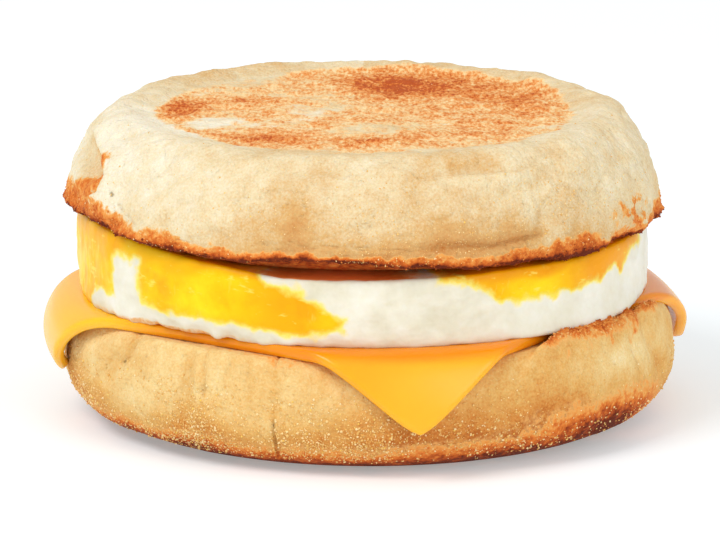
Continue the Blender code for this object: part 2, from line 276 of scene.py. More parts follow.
def grid(columns, *stretches):
    """Azimuths, radii and heights of a turned shape, one row for each point of its profile."""
    radius, height = (np.concatenate(side) for side in zip(*stretches))
    azimuth = np.arange(columns) * 2 * math.pi / columns
    shape = (len(radius), columns)
    spread = (np.broadcast_to(side[:, None], shape).copy() for side in (radius, height))
    return (np.broadcast_to(azimuth, shape), *spread)


def outward(radius, height):
    """The profile's outward direction at each point, as its radial and its upward part."""
    run = np.gradient(radius, axis=0)
    rise = np.gradient(height, axis=0)
    length = np.maximum(np.hypot(run, rise), 1e-9)
    return rise / length, -run / length


def place(azimuth, radius, height, centre=(0, 0)):
    """Points in space, with azimuth 0 at the front and + to the right."""
    x = centre[0] + radius * np.sin(azimuth)
    y = centre[1] - radius * np.cos(azimuth)
    return np.stack(np.broadcast_arrays(x, y, height), axis=-1)


# %% Meshes from arrays
def new_piece(name, vertices, faces, attributes):
    """A smooth object from arrays of points and faces, with named values stored at each point."""
    mesh = bpy.data.meshes.new(name)
    mesh.from_pydata(vertices, [], faces)
    for key, values in attributes.items():
        layer = mesh.attributes.new(key, "FLOAT", "POINT")
        layer.data.foreach_set("value", np.asarray(values, np.float32).ravel())
    mesh.shade_smooth()
    piece = bpy.data.objects.new(name, mesh)
    scene.collection.objects.link(piece)
    return piece


def quads(index):
    """The four corners of every cell in a grid of point numbers."""
    return np.stack([index[:-1, :-1], index[:-1, 1:], index[1:, 1:], index[1:, :-1]], axis=-1).reshape(-1, 4)


def turned_piece(name, points, attributes):
    """A closed object from rows of points, the first and last row being its two poles."""
    rows, columns = points.shape[:2]
    inner = (rows - 1) * columns
    keep = [slice(0, 1), slice(columns, inner), slice(inner, inner + 1)]

    def packed(values):
        flat_values = values.reshape(rows * columns, -1)
        return np.concatenate([flat_values[part] for part in keep])

    last = 1 + (rows - 2) * columns
    index = np.arange(1, last).reshape(rows - 2, columns)
    index = np.column_stack([index, index[:, 0]])
    low_cap = np.stack([np.zeros(columns, int), index[0, 1:], index[0, :-1]], axis=-1)
    high_cap = np.stack([index[-1, :-1], index[-1, 1:], np.full(columns, last)], axis=-1)
    faces = quads(index).tolist() + low_cap.tolist() + high_cap.tolist()
    stored = {key: packed(np.broadcast_to(values, (rows, columns))) for key, values in attributes.items()}
    return new_piece(name, packed(points), faces, stored)


def surface_normals(points):
    """Unit normals of a turned grid of points, from the differences between neighbours."""
    around = np.roll(points, -1, axis=1) - np.roll(points, 1, axis=1)
    along = np.gradient(points, axis=0)
    normal = np.cross(around, along)
    return normal / np.maximum(np.linalg.norm(normal, axis=-1, keepdims=True), 1e-12)


# %% [markdown]
# ## Finishes as arithmetic
# A shader is a graph of small sums. Writing it as Python expressions keeps it readable, so one class
# wraps a socket and turns + - * into Math nodes, and another adds any other node by its type.

# %% Shader helpers
class Value:
    """A number that varies over the surface, as the output socket of a node."""

    def __init__(self, shader, socket):
        self.shader = shader
        self.socket = socket

    def __add__(self, other):
        return self.shader.maths("ADD", self, other)

    def __sub__(self, other):
        return self.shader.maths("SUBTRACT", self, other)

    def __rsub__(self, other):
        return self.shader.maths("SUBTRACT", other, self)

    def __mul__(self, other):
        return self.shader.maths("MULTIPLY", self, other)


BUMPS_PER_CELL = 0.6


class Shader:
    """A material in the making."""

    def __init__(self, name):
        self.material = bpy.data.materials.new(name)
        self.material.use_nodes = True
        self.tree = self.material.node_tree
        self.surface = self.tree.nodes["Principled BSDF"]
        self.place = self.add("ShaderNodeTexCoord", output="Object")

    def add(self, kind, settings=None, sockets=None, output=0):
        """A node of this kind with its settings made and its sockets filled, as one of its outputs."""
        node = self.tree.nodes.new(kind)
        for key, value in (settings or {}).items():
            if key == "stops":
                self.set_stops(node.color_ramp, value)
            else:
                setattr(node, key, value)
        for key, value in (sockets or {}).items():
            self.fill(node.inputs[key], value)
        return Value(self, node.outputs[output])

    def maths(self, operation, first, second):
        return self.add("ShaderNodeMath", {"operation": operation}, {0: first, 1: second})

    def set_stops(self, ramp, stops):
        """Fills a colour ramp from (position, red, green, blue), the colours being 0 to 255."""
        for _ in range(len(stops) - len(ramp.elements)):
            ramp.elements.new(1)
        for element, (position, *colour) in zip(ramp.elements, stops):
            element.position = position
            element.color = (*rgb(*colour), 1)

    def fill(self, socket, value):
        if isinstance(value, Value):
            self.tree.links.new(value.socket, socket)
        elif isinstance(value, tuple) and len(value) == 3 and socket.type == "RGBA":
            socket.default_value = (*value, 1)
        else:
            socket.default_value = value

    def stored(self, name):
        """A value that was stored at the mesh's points."""
        return self.add("ShaderNodeAttribute", {"attribute_name": name}, output="Fac")

    def grain(self, size, detail=2, rough=0.5, where=None):
        """Noise from 0 to 1 whose bumps are about size across."""
        scale = BUMPS_PER_CELL / size
        sockets = {"Vector": where or self.place, "Scale": scale, "Detail": detail, "Roughness": rough}
        return self.add("ShaderNodeTexNoise", {}, sockets, "Fac")

    def stretched(self, x, y, z):
        """The place on the object with its axes multiplied, which draws grains out into streaks."""
        return self.add("ShaderNodeVectorMath", {"operation": "MULTIPLY"}, {0: self.place, 1: (x, y, z)})

    def pits(self, size, where=None):
        """Distance to the nearest of many scattered points, size apart, as a share of size."""
        sockets = {"Vector": where or self.place, "Scale": 1 / size}
        return self.add("ShaderNodeTexVoronoi", {}, sockets, "Distance")

    def wavering(self, size, reach):
        """The place on the object, moved up to reach this way and that by noise of a size."""
        sockets = {"Vector": self.place, "Scale": BUMPS_PER_CELL / size, "Detail": 2}
        wave = self.add("ShaderNodeTexNoise", {}, sockets, "Color")
        sockets = {0: wave, 1: (reach,) * 3, 2: self.place}
        return self.add("ShaderNodeVectorMath", {"operation": "MULTIPLY_ADD"}, sockets)

    def ease(self, value, low, high):
        """0 below low, 1 above high and smooth between."""
        settings = {"interpolation_type": "SMOOTHSTEP"}
        return self.add("ShaderNodeMapRange", settings, {"Value": value, "From Min": low, "From Max": high})

    def ramp(self, value, stops):
        return self.add("ShaderNodeValToRGB", {"stops": stops}, {"Fac": value}, "Color")

    def mix(self, share, first, second):
        """The first colour where share is 0 and the second where it is 1."""
        return self.add("ShaderNodeMix", {"data_type": "RGBA"}, {0: share, 6: first, 7: second}, 2)

    def relief(self, *layers):
        """A normal from layers of height, each a value and how far its full range stands out."""
        normal = None
        for height, distance in layers:
            sockets = {"Height": height, "Distance": distance, "Strength": 1}
            if normal is not None:
                sockets["Normal"] = normal
            normal = self.add("ShaderNodeBump", {}, sockets, "Normal")
        self.fill(self.surface.inputs["Normal"], normal)

    def finish(self, **sockets):
        """Fills sockets of the surface, an underscore in a key standing for a blank."""
        for key, value in sockets.items():
            self.fill(self.surface.inputs[key.replace("_", " ")], value)
        return self.material


def rgb(red, green, blue):
    """A colour given as 0 to 255 on a screen, as the linear numbers that a shader wants."""
    parts = (part / 255 for part in (red, green, blue))
    return tuple(part / 12.92 if part <= 0.04045 else ((part + 0.055) / 1.055) ** 2.4 for part in parts)


# %% [markdown]
# ## Baked dough
# The muffin's skin is pale and floury where only the oven's air touched it, tan lower down, and brown
# where it was cut and toasted or lay on the griddle. Each point of the mesh stores how tan, how browned
# and how griddled it is, and the shader breaks those broad values up with fine grain and low blisters.

# %% Dough finish
CROWN_STOPS = [
    (0.00, 241, 232, 208), (0.30, 229, 209, 168), (0.60, 214, 170, 109),
    (0.85, 203, 144, 82), (1.00, 190, 116, 50),
]
HEEL_STOPS = [
    (0.00, 247, 230, 186), (0.32, 235, 203, 140), (0.62, 223, 172, 97),
    (0.86, 208, 136, 62), (1.00, 184, 104, 40),
]
GRIDDLE_STOPS = [
    (0.08, 248, 218, 164), (0.34, 243, 196, 134), (0.60, 233, 152, 80),
    (0.86, 213, 112, 42), (1.00, 188, 82, 26),
]
TOAST_STOPS = [
    (0.10, 236, 196, 128), (0.34, 234, 162, 82), (0.56, 218, 118, 44),
    (0.80, 172, 74, 22), (1.00, 100, 34, 10),
]


def dough_finish(name, stops):
    shader = Shader(name)
    dust = shader.grain(0.22 * MM, 2, 0.6)
    fine = shader.grain(0.45 * MM, 3, 0.6)
    small = shader.grain(1.3 * MM, 3, 0.6)
    broad = shader.grain(6 * MM, 3, 0.6)
    middling = shader.grain(3 * MM, 2, 0.5)
    blisters = shader.ease(shader.pits(4.2 * MM, shader.wavering(3 * MM, 3.5 * MM)), 0.15, 0.75)
    blisters = blisters * shader.ease(shader.grain(8 * MM, 2, 0.5), 0.42, 0.60)
    long_dust = shader.grain(0.30 * MM, 2, 0.6, shader.stretched(1, 0.4, 1))
    long_fine = shader.grain(0.60 * MM, 3, 0.6, shader.stretched(1, 0.4, 1))
    tan = shader.stored("tan") + (broad - 0.5) * 0.28 + (small - 0.5) * 0.36 + (dust - 0.5) * 0.48
    tan = tan + (middling - 0.5) * 0.22 + blisters * 0.06
    colour = shader.ramp(tan, stops)
    griddled = shader.stored("griddled")
    heat = griddled + (small - 0.5) * 0.80 + (long_fine - 0.5) * 0.75 + (long_dust - 0.5) * 1.1
    seen = shader.ease(griddled + (small - 0.5) * 0.4 + (fine - 0.5) * 0.3, 0.12, 0.34)
    colour = shader.mix(seen, colour, shader.ramp(heat, GRIDDLE_STOPS))
    browned = shader.stored("browned")
    speckle = (small - 0.5) * 0.65 + (fine - 0.5) * 0.85
    toast = browned + shader.ease(browned, 0.02, 0.25) * speckle
    colour = shader.mix(shader.ease(toast, 0.06, 0.36), colour, shader.ramp(toast, TOAST_STOPS))
    pores = shader.ease(shader.pits(0.9 * MM), 0, 0.45)
    lumps = [(1 - blisters, 0.20 * MM), (middling, 0.60 * MM)]
    shader.relief(*lumps, (pores, 0.09 * MM), (small, 0.50 * MM), (fine, 0.24 * MM))
    return shader.finish(
        Base_Color=colour,
        Roughness=0.85,
        Specular_IOR_Level=0.2,
        Subsurface_Weight=0.12,
        Subsurface_Radius=(2.2, 1.3, 0.7),
        Subsurface_Scale=0.8 * MM,
    )


# %% [markdown]
# ## The muffin's lower half
# The heel stands on a flat griddled base. Its side bulges, vertical folds run down from the rim, and the
# rim is torn and toasted where no cheese covers it. The rim is pressed in beneath the slice.

# %% Heel: sizes
GAP = 0.35 * MM
HEEL_RADIUS = 48.1 * MM
HEEL_HEIGHT = 18.2 * MM
HEEL_FOOT = 35.8 * MM
HEEL_BELLY = 9.5 * MM
HEEL_RIM = 44.4 * MM
HEEL_LIP = 3 * MM
HEEL_SWELL = 0.5 * MM
HEEL_PRESS = 1 * MM
CHEESE_BOTTOM = HEEL_HEIGHT + GAP
CHEESE_SIDE = 85 * MM
CHEESE_CENTRE = (-1.5 * MM, -0.4 * MM)
CHEESE_TURN = math.radians(10.2)
CHEESE_COS, CHEESE_SIN = math.cos(CHEESE_TURN - math.pi / 4), math.sin(CHEESE_TURN - math.pi / 4)
HEEL_FOLDS = [  # depth, width, sharpness and places of each fold
    (1.2, 1.7, 2, (-52, 17.5), (-57, 12)),
    (1, 1.5, 2, (-36, 16.5), (-37, 7.5)),
    (0.7, 1.4, 2, (-18, 16), (-18, 10.5)),
    (1, 1.7, 2, (66, 17), (74, 9)),
    (1, 1.8, 2, (128, 16), (122, 8)),
    (1, 1.8, 2, (-150, 16.5), (-146, 9)),
    (0.70, 0.50, 1.3, (-33, 18.1), (-32.5, 15), (-32, 12)),
    (0.50, 0.40, 1.3, (-49.5, 17.8), (-51, 15.3), (-54.5, 13.8)),
    (0.30, 0.30, 1.3, (-17, 18.2), (-16, 15.8)),
    (0.30, 0.30, 1.3, (-28, 17.6), (-27.5, 15.4)),
    (0.25, 0.30, 1.3, (-23, 17.4), (-24, 16), (-21.5, 15)),
    (0.35, 0.35, 1.3, (58, 16.6), (61, 12.5)),
    (0.35, 0.40, 1.3, (100, 16), (104, 11)),
    (0.35, 0.40, 1.3, (165, 16), (163, 12)),
    (0.35, 0.40, 1.3, (-115, 16), (-112, 11)),
]
HEEL_LEDGES = [  # rise, reach and places: the dough stands up on the left of each run
    (0.45, 2.2, (-55, 13.4), (-51.5, 15.6), (-49.5, 17.8)),
    (0.35, 1.8, (-32, 11.5), (-32.5, 15), (-33, 18)),
]


def cheese_edge(x, y):
    """Distance outside the flat slice's edge at each point in plan; below 0 inside it."""
    from_x, from_y = x - CHEESE_CENTRE[0], y - CHEESE_CENTRE[1]
    across = np.abs(CHEESE_COS * from_x + CHEESE_SIN * from_y)
    along = np.abs(CHEESE_COS * from_y - CHEESE_SIN * from_x)
    return np.maximum(across, along) - CHEESE_SIDE / 2


# %% Heel: shape
def heel_shape(columns=640):
    """The heel's points, and how far the rim at each of them is clear of the slice."""
    belly = (HEEL_RADIUS, HEEL_BELLY)
    side_up = quarter(belly, (HEEL_RIM, HEEL_HEIGHT), 2.9, True)
    azimuth, radius, height = grid(
        columns,
        even(14, flat_run(0, HEEL_FOOT, 0)),
        even(104, quarter((HEEL_FOOT, 0), belly, 2.05, False), side_up),
        even(30, flat_run(HEEL_RIM - 0.3 * MM, 0, HEEL_HEIGHT)),
    )
    out, up = outward(radius, height)
    spots = place(azimuth, radius, height)
    side = smooth((height - 0.2 * MM) / (2.5 * MM)) * smooth((radius - 42.5 * MM) / (2.5 * MM))
    swell = HEEL_SWELL * (bumps(spots, 15 * MM, 15) + 0.5 * out_of_round(azimuth, 159))
    folds = grooves(azimuth, height, HEEL_RADIUS, HEEL_FOLDS)
    swell = side * (swell - folds + ledges(azimuth, height, HEEL_RADIUS, HEEL_LEDGES))
    top = smooth((height - 14.5 * MM) / (3.5 * MM))
    beyond = cheese_edge(spots[..., 0], spots[..., 1])
    press = HEEL_PRESS * top * smooth(-beyond / (2 * MM))
    inner = smooth((42 * MM - radius) / (3 * MM)) * (height > HEEL_BELLY)
    clear = smooth((beyond - 0.9 * MM) / (1.6 * MM))
    skin = 0.32 * MM * bumps(spots, 3.4 * MM, 61, 3) + 0.10 * MM * noise(spots, 1.1 * MM, 67)
    skin = skin + 0.30 * MM * side * noise(spots, 7 * MM, 68)
    cracked = 0.26 * MM * cracks(spots, 5 * MM, 65) * smooth(noise(spots, 12 * MM, 66) + 0.4)
    skin = skin - cracked * smooth((height - 6 * MM) / (4 * MM))
    radius = radius + out * (swell - press + skin * smooth(height / MM))
    spots = place(azimuth, radius, height)
    torn = 0.8 + 0.2 * bumps(spots, 5 * MM, 17) + 0.13 * noise(spots, 1.4 * MM, 71)
    torn = torn + 0.10 * noise(spots, 0.7 * MM, 73)
    height = height + up * swell * np.where(swell < 0, 1, 1 - top)
    lip = clear * top * smooth((radius - 41.3 * MM) / (3 * MM)) * (1 - 0.25 * near(azimuth, 55, 25))
    lip = lip * (1 - 0.95 * near(azimuth, -33, 20))
    height = height + HEEL_LIP * torn * lip + 1.4 * GAP * top * smooth((radius - 38 * MM) / (4 * MM))
    height = height - 0.35 * MM * inner * (1 + noise(spots, 6 * MM, 19))
    height = np.where(beyond < 0.4 * MM, np.minimum(height, CHEESE_BOTTOM - 0.03 * MM), height)
    return azimuth, height, place(azimuth, radius, height), folds, clear, inner


# %% Heel: colours
def heel_colours(azimuth, height, points, folds, clear, inner):
    """How tan, browned and griddled the heel is at each point; part of its tan is painted shade in its folds.
    """
    blotch = noise(points, 9 * MM, 81)
    fleck = noise(points, 1.6 * MM, 85) + 0.5 * noise(points, 0.8 * MM, 86)
    low = smooth((13 * MM - height + 3 * MM * blotch) / (12 * MM))
    foot = smooth((7.2 * MM - height + 1.2 * MM * blotch) / (6 * MM))
    left, right = near(azimuth, -48, 34), near(azimuth, 30, 48)
    pale_right = near(azimuth, 58, 15) * bell(height - 14.5 * MM, 3 * MM)
    scorched = near(azimuth, 52, 21) * smooth((12 * MM - height + 0.6 * MM * fleck) / (8 * MM))
    rim = clear * smooth((height - 17.6 * MM + MM * noise(points, 3 * MM, 87)) / (3.4 * MM))
    rim = rim * (1 - 0.75 * near(azimuth, -33, 32))
    speckled = near(azimuth, 52, 22) * smooth((height - 13.5 * MM) / (3.5 * MM))
    speckled = speckled * smooth((fleck + 0.1) / 0.9)
    seam = smooth((height - 16.6 * MM + 0.7 * MM * fleck) / (1.2 * MM))
    seam = seam * (1 - clear) * near(azimuth, -22, 18)
    tan = 0.42 + 0.50 * low - 0.10 * left * (1 - low) + 0.22 * right - 0.30 * pale_right
    parts = [0.96 * foot, 0.62 * rim, 0.36 * speckled, 1.05 * scorched, 0.22 * seam, 0.8 * inner]
    return {
        # Tan deepens with fold depth: painted shade in the fold grooves
        "tan": tan + 0.12 * folds / MM,
        "browned": np.maximum.reduce(parts),
        "griddled": 0.75 * smooth((0.4 * MM - height) / (0.4 * MM)),
    }


heel_azimuth, heel_level, heel_points, *heel_marks = heel_shape()
heel_values = heel_colours(heel_azimuth, heel_level, heel_points, *heel_marks)
heel = turned_piece("muffin_heel_dough", heel_points, heel_values)
heel.data.materials.append(dough_finish("baked_dough_heel", HEEL_STOPS))
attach(heel, "root")
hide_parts("muffin_heel")
print("heel:", len(heel.data.polygons), "faces")

# %% [markdown]
# ## The muffin's upper half
# The crown puffs up from a ragged cut edge, folds over itself at the left, and ends in a shallow dish
# that browned in blotches on the griddle.

# %% Crown: sizes
CHEESE_THICK = 1.8 * MM
EGG_THICK = 10.5 * MM
EGG_BOTTOM = CHEESE_BOTTOM + CHEESE_THICK + GAP
EGG_TOP = EGG_BOTTOM + EGG_THICK
CROWN_BOTTOM = EGG_TOP + GAP
CROWN_RADIUS = 46.9 * MM
CROWN_EDGE = 46.2 * MM
CROWN_THICK = 17.2 * MM
CROWN_CENTRE = (-1.2 * MM, 0)
CROWN_BELLY = 1.6 * MM
CROWN_CREST = 37.4 * MM
CROWN_DISH = 1.25 * MM
CROWN_SWELL = 0.6 * MM
CROWN_TOP = CROWN_BOTTOM + CROWN_THICK
CROWN_FOLDS = [  # depth, width, sharpness and places of each fold
    (0.9, 1.9, 2, (-84, 43.5), (-70, 41.7)),
    (0.9, 1.9, 2, (-70, 41.7), (-76, 34)),
    (0.4, 1.3, 2, (22, 42.6), (38, 43.8)),
    (0.6, 1.2, 2, (12, 35.6), (36, 36.8)),
    (0.8, 1.8, 2, (150, 41), (118, 38)),
    (0.7, 1.8, 2, (-140, 36), (-170, 39.5)),
    (0.45, 0.40, 1.3, (14.5, 36.5), (19, 36.4), (24.5, 35.7), (31, 36.2), (36.5, 36.3)),
    (0.35, 0.40, 1.3, (36.5, 40), (36, 38.2), (35, 36.9), (33, 36.2)),
    (0.35, 0.35, 1.3, (12, 46.3), (19.5, 46.5), (27, 46.2), (34, 45.6)),
    (0.30, 0.35, 1.3, (34, 45.6), (42.5, 46.8), (48.5, 47.5)),
    (0.30, 0.30, 1.3, (-39, 40.6), (-36.5, 41), (-34.8, 41.1), (-35.2, 42.2)),
    (0.35, 0.35, 1.3, (-40.5, 39.4), (-40, 38)),
    (0.22, 0.35, 1.3, (-53, 46.6), (-50, 47.2), (-48.5, 48.1)),
    (0.22, 0.35, 1.3, (-48.5, 44.2), (-45.5, 42.7), (-44.5, 41.4)),
    (0.25, 0.30, 1.3, (-30.3, 38.2), (-29.8, 36)),
    (0.25, 0.30, 1.3, (-60.5, 48.2), (-66, 47), (-69, 45.6)),
    (0.25, 0.30, 1.3, (5, 39.6), (9, 40.3), (16, 40.2)),
    (0.25, 0.30, 1.3, (52, 41), (58, 43.2)),
    (0.35, 0.40, 1.3, (95, 37), (108, 38.5), (118, 37.6)),
    (0.30, 0.40, 1.3, (-120, 44), (-108, 43), (-99, 44.6)),
]
CROWN_LEDGES = [  # rise, reach and places: the dough stands up on the left of each run
    (1.5, 3.6, (-82, 46.6), (-75, 45.4), (-65.5, 43.8), (-60.5, 41.6), (-62, 39.4), (-69, 36.6)),
    (0.50, 1.6, (11, 35.9), (19, 36.4), (24.5, 35.7), (31, 36.2), (38, 36.4)),
    (0.45, 1.8, (50, 47.6), (42.5, 46.8), (34, 45.6), (27, 46.2), (17, 46.5)),
    (0.45, 2.5, (108, 36), (125, 38.4), (148, 38)),
]
EDGE_LIFT = [  # how far the cut edge stands off the egg, in mm, round the crown
    (-180, 0.5), (-120, 0.6), (-95, 1.6), (-80, 2.1), (-70, 2.8), (-60, 3), (-48, 2.5), (-36, 1.8),
    (-25, 1.3), (-18, 2.2), (-9, 2.5), (0, 2), (8, 1.2), (18, 0.8), (32, 0.3), (45, 0.2), (70, 0.3),
    (100, 0.3), (140, 0.6),
]
TOASTED_EDGE = [  # how high the toasting climbs from the cut edge, in mm, round the crown
    (-170, 1.6), (-150, 2.4), (-130, 1.4), (-110, 2.2), (-95, 3.8), (-86, 4.4), (-78, 4.8), (-70, 4.2),
    (-65, 4.4), (-59, 3.8), (-52, 2.6), (-47, 2), (-43, 2.4), (-38, 2.6), (-34, 1), (-29, 1.7),
    (-24, 1.7), (-18, 1), (-8, 0.9), (4, 1.1), (12, 1.5), (20, 1.8), (30, 2), (37, 2), (40, 3.2),
    (48, 3.4), (53, 1.5), (58, 0.9), (66, 1.2), (74, 1.8), (82, 2.8), (90, 3.2), (105, 2), (120, 1.2),
    (140, 2.2), (160, 1.2),
]
GRIDDLED_REACH = [  # radius of the browned disc on top, in mm, round the crown
    (-180, 36.3), (-165, 35.2), (-150, 33.2), (-120, 33), (-90, 33.3), (-60, 32.6), (-30, 35),
    (0, 36.8), (30, 36.2), (60, 34.6), (90, 34.2), (120, 34.6), (145, 35.8), (160, 36.5),
]
GRIDDLE_SPOTS = [  # x, y, reach in x, reach in y, all in mm, and strength of the blotches on top
    (7, 22, 13, 11, 0.40), (6, 20, 8, 8, 0.22), (24, 11, 7, 10, 0.34),
    (-30.5, 3, 4.5, 8, 0.55), (-20, 9.5, 8, 3.5, 0.28), (-16, -21, 6, 4, 0.34),
    (-1, -26, 11, 3.5, 0.22), (2, -34, 26, 5, -0.14), (17, -16.5, 7, 3, 0.14),
    (11, -3, 8, 5, 0.14), (-7, 12, 5, 8, -0.22), (-25, -8, 5, 5, -0.28), (27, -7, 5, 4, 0.12),
    (2, -14, 12, 4, -0.08),
]


# %% Crown: shape
def crown_grid(columns=672):
    """Azimuths, radii and heights of the crown before its relief: underside, side and dished top."""
    edge = (CROWN_EDGE, CROWN_BOTTOM + 0.3 * MM)
    belly = (CROWN_RADIUS, CROWN_BOTTOM + CROWN_BELLY)
    side_up = quarter(belly, (CROWN_CREST, CROWN_TOP), 1.84, True)
    azimuth, radius, height = grid(
        columns,
        even(12, flat_run(0, CROWN_EDGE - 0.8 * MM, CROWN_BOTTOM)),
        even(96, quarter(edge, belly, 2, False), side_up, low=CROWN_BOTTOM + 4.5 * MM),
        even(36, flat_run(CROWN_CREST - 0.3 * MM, 0, CROWN_TOP)),
    )
    brink = CROWN_CREST + 0.9 * MM * noise(place(azimuth, CROWN_CREST, 0), 9 * MM, 37)
    on_top = (height > CROWN_TOP - 0.1 * MM) * (radius < CROWN_CREST)
    dish = CROWN_DISH * (1 - 0.7 * near(azimuth, 2, 52))
    return azimuth, radius, height - dish * smooth((brink - radius) / (5 * MM)) * on_top


def crown_shape():
    """Points of the crown with its folds, layers, skin and torn edge, and what its colours need."""
    azimuth, radius, height = crown_grid()
    out, up = outward(radius, height)
    spots = place(azimuth, radius, height)
    under = smooth((CROWN_BOTTOM + CROWN_BELLY - height) / CROWN_BELLY)
    side = smooth((radius - 33 * MM) / (8 * MM)) * (1 - under)
    folds = grooves(azimuth, height, CROWN_RADIUS, CROWN_FOLDS)
    swell = CROWN_SWELL * (bumps(spots, 16 * MM, 238) + 0.5 * out_of_round(azimuth, 260))
    swell = side * (swell - folds + ledges(azimuth, height, CROWN_RADIUS, CROWN_LEDGES))
    near_edge = bell(height - CROWN_BOTTOM, 2.6 * MM)
    ragged = near_edge * smooth((radius - 43.5 * MM) / (2.5 * MM))
    torn = MM * noise(spots, 5.2 * MM, 29) + 0.45 * MM * noise(spots, 12 * MM, 30) - 0.1 * MM
    torn = torn + 0.34 * MM * noise(spots, 1.5 * MM, 31) + 0.24 * MM * noise(spots, 0.7 * MM, 32)
    skin = 0.42 * MM * bumps(spots, 3.6 * MM, 63, 3) + 0.08 * MM * noise(spots, 1.2 * MM, 69)
    skin = skin + side * 0.22 * MM * noise(spots * (1, 1, 2.2), 4.5 * MM, 75)
    skin = skin + side * 0.45 * MM * noise(spots, 8 * MM, 78)
    patches = smooth(noise(spots, 11 * MM, 76) + 0.45)
    skin = skin - 0.30 * MM * side * patches * cracks(spots * (1, 1, 1.5), 5.5 * MM, 77)
    stand = swell + skin * (1 - under)
    lift = round_table(azimuth, EDGE_LIFT) * MM
    lift = lift + 0.3 * MM * noise(place(azimuth, CROWN_EDGE, 0), 8 * MM, 31)
    above = height - (CROWN_BOTTOM + 0.3 * MM)
    stretch = np.clip(1 - above / (9 * MM), 0, 1) ** 2 * smooth((radius - 40.5 * MM) / (4.5 * MM))
    rough_lift = 0.30 * MM * noise(spots, 1.6 * MM, 33) + 0.2 * MM * noise(spots, 0.8 * MM, 34)
    radius = radius + out * stand + ragged * torn
    raised = height + up * stand + lift * stretch + ragged * rough_lift
    return azimuth, height, place(azimuth, radius, raised, CROWN_CENTRE), folds, lift, under


# %% Crown: colours
def griddle_heat(azimuth, points):
    """How strongly the top was browned: a disc with a ragged edge, and blotches on it."""
    x, y, z = np.moveaxis(points, -1, 0)
    reach = round_table(azimuth, GRIDDLED_REACH) * MM
    reach = reach + 1.3 * MM * noise(points, 7 * MM, 97) + 0.6 * MM * noise(points, 2.2 * MM, 98)
    from_middle = np.hypot(x - CROWN_CENTRE[0], y - CROWN_CENTRE[1])
    disc = smooth((reach - from_middle) / (2.4 * MM) + 0.3) * (z > CROWN_TOP - 4 * MM)
    heat = 0.36 + 0.17 * bumps(points, 9 * MM, 95, 2) + 0.12 * noise(points, 3 * MM, 96)
    for spot_x, spot_y, reach_x, reach_y, strength in GRIDDLE_SPOTS:
        away = np.hypot((x - spot_x * MM) / reach_x, (y - spot_y * MM) / reach_y) / MM
        heat = heat + strength * bell(away, 1)
    return disc * heat


def crown_colours(azimuth, height, points, folds, lift, under):
    """How tan, browned and griddled the crown is at each point; part of its tan is painted shade in folds,
    recesses and on its right side.
    """
    z = points[..., 2]
    from_axis = np.hypot(points[..., 0] - CROWN_CENTRE[0], points[..., 1])
    outer = from_axis > 44.5 * MM
    cut_face = under * (0.38 + 0.14 * smooth((41 * MM - from_axis) / (2 * MM)))
    fleck = noise(points, 1.3 * MM, 92) + 0.6 * noise(points, 0.65 * MM, 93)
    above = z - (CROWN_BOTTOM + 0.3 * MM) - lift
    climb = np.maximum(round_table(azimuth, TOASTED_EDGE) * MM, 0.6 * MM)
    share = 1 - (above + 0.45 * MM * noise(points, 4.5 * MM, 91) + 0.5 * MM * fleck) / climb
    edge = smooth((share + 0.25) / 0.4) * (0.36 + 0.36 * np.clip(share, 0, 1))
    edge = edge * (1 + 0.30 * near(azimuth, 44, 8))
    edge = outer * (edge + 0.36 * bell(above, 0.55 * MM))
    stripe, _ = along_run(azimuth, height, CROWN_RADIUS, [(-64, 42.6), (-69, 39.6), (-77, 36.2)])
    stripe = stripe + 0.5 * MM * fleck
    fold = 0.50 * np.exp(-((stripe / (2.3 * MM)) ** 4)) * smooth((height - 34 * MM) / (2 * MM))
    speckled = outer * near(azimuth, 64, 8) * smooth((39 * MM - z) / (1.5 * MM))
    speckled = 0.52 * speckled * smooth((fleck + 0.05) / 0.35)
    low_side = smooth((CROWN_BOTTOM + 11 * MM - z + 2.5 * MM * noise(points, 10 * MM, 99)) / (11 * MM))
    # Darker tan towards the right, away from the key light: partly the dough's tan, partly painted shade
    tan_and_shade_to_right = smooth((azimuth_gap(azimuth, 0) + 62) / 50)
    rosy = near(azimuth, -12, 5) * bell(z - 41 * MM, 4 * MM)
    # Painted shade: deeper tan in the recess above the upper right fold
    painted_recess_shade, _ = along_run(azimuth, height, CROWN_RADIUS, [(19, 47.3), (24, 47.4), (30, 46.9)])
    tan_and_shade_to_right = tan_and_shade_to_right * (1 - 0.30 * near(azimuth, 75, 35))
    tan = 0.06 + 0.28 * tan_and_shade_to_right + low_side * (0.34 * near(azimuth, 5, 45) + 0.12)
    tan = tan + 0.40 * smooth((z - 46 * MM) / (2 * MM)) * near(azimuth, -145, 35)
    # Painted shade: a tan line along the crease under the overlapping layer, and deeper tan on the recessed
    # layer below it
    layer, _ = along_run(azimuth, height, CROWN_RADIUS, CROWN_LEDGES[0][2:])
    tan = tan + 0.36 * bell(layer + 0.5 * MM, 0.9 * MM)
    tan = tan + 0.16 * smooth(-layer / MM) * bell(layer, 9 * MM) * near(azimuth, -76, 16)
    return {
        # Tan deepens with fold depth: painted shade in the fold grooves
        "tan": tan + 0.20 * rosy + 0.28 * bell(painted_recess_shade, MM) + 0.14 * folds / MM,
        "browned": np.maximum.reduce([edge, fold, speckled, cut_face * ~outer]),
        "griddled": griddle_heat(azimuth, points),
    }


crown_azimuth, crown_level, crown_points, *crown_marks = crown_shape()
crown_values = crown_colours(crown_azimuth, crown_level, crown_points, *crown_marks)
crown = turned_piece("muffin_crown_dough", crown_points, crown_values)
crown.data.materials.append(dough_finish("baked_dough_crown", CROWN_STOPS))
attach(crown, "root")
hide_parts("muffin_crown")
print("crown:", len(crown.data.polygons), "faces")

# %% [markdown]
# ## The fried egg
# The egg was cooked in a ring, so it is a round cake with a soft side. Its yolk broke and ran to the rim,
# where it shows in three yellow patches that fade into the white. White and yolk are two closed pieces.
# Both read one mask that says how much yolk shows at a place, so their colours agree along the seam.

